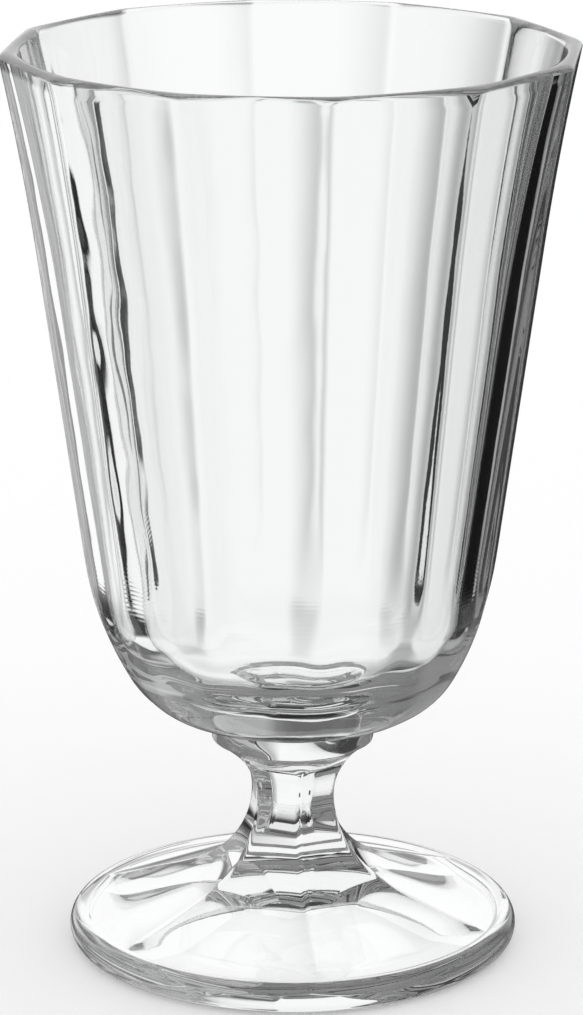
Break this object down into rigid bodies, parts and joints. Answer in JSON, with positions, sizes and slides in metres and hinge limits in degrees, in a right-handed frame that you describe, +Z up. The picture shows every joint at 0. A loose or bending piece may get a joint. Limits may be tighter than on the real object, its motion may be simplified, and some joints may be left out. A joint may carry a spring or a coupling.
{
  "type": "parfait glass",
  "caption": "Clear pressed glass goblet with a tall flaring panelled bowl, a collar, a short waisted faceted stem and a round foot, for layered desserts and drinks.",
  "frame": {"origin": "centre of the foot, on the plane that the glass stands on", "axes": "+Z up the glass's axis towards the rim; -Y through a ridge that the bowl, collar, stem and foot share"},
  "size_m": [0.0864, 0.0864, 0.1385],
  "materials": {
    "glass": "clear, fire-polished"
  },
  "bodies": {
    "root": {"foot": "glass", "stem": "glass", "collar": "glass", "bowl": "glass"}
  },
  "joints": []
}
